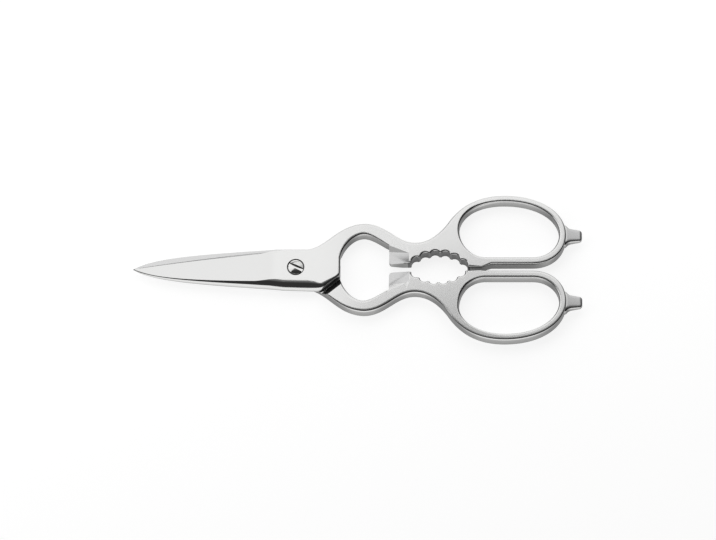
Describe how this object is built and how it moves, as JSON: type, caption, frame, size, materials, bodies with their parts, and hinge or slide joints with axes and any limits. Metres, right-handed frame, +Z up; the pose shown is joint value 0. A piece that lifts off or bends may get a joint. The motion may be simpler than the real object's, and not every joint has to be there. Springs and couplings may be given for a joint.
{
  "type": "kitchen scissors",
  "caption": "Forged all-steel kitchen scissors with finger loops, a round bottle grip, cap lifters, toothed nutcracker jaws and tail tips, turning on a slotted pivot screw.",
  "frame": {"origin": "on the surface the scissors lie on, under the middle of their bounding box", "axes": "+X from the blade tips to the finger loops, +Z up, out of the face that shows the screw's slot"},
  "size_m": [0.2, 0.0694, 0.0071],
  "materials": {
    "satin_steel": "satin handles, mirror-polished blades",
    "screw_steel": "polished domed head"
  },
  "bodies": {
    "rear_half": {"rear_half": "satin_steel", "pivot_screw": "screw_steel"},
    "front_half": {"front_half": "satin_steel"}
  },
  "joints": [
    {"name": "blade_pivot", "type": "hinge", "parent": "rear_half", "child": "front_half", "pos_m": [-0.0274, 0, 0.0033], "axis": [0, 0, 1], "range_deg": [-1, 75]}
  ]
}
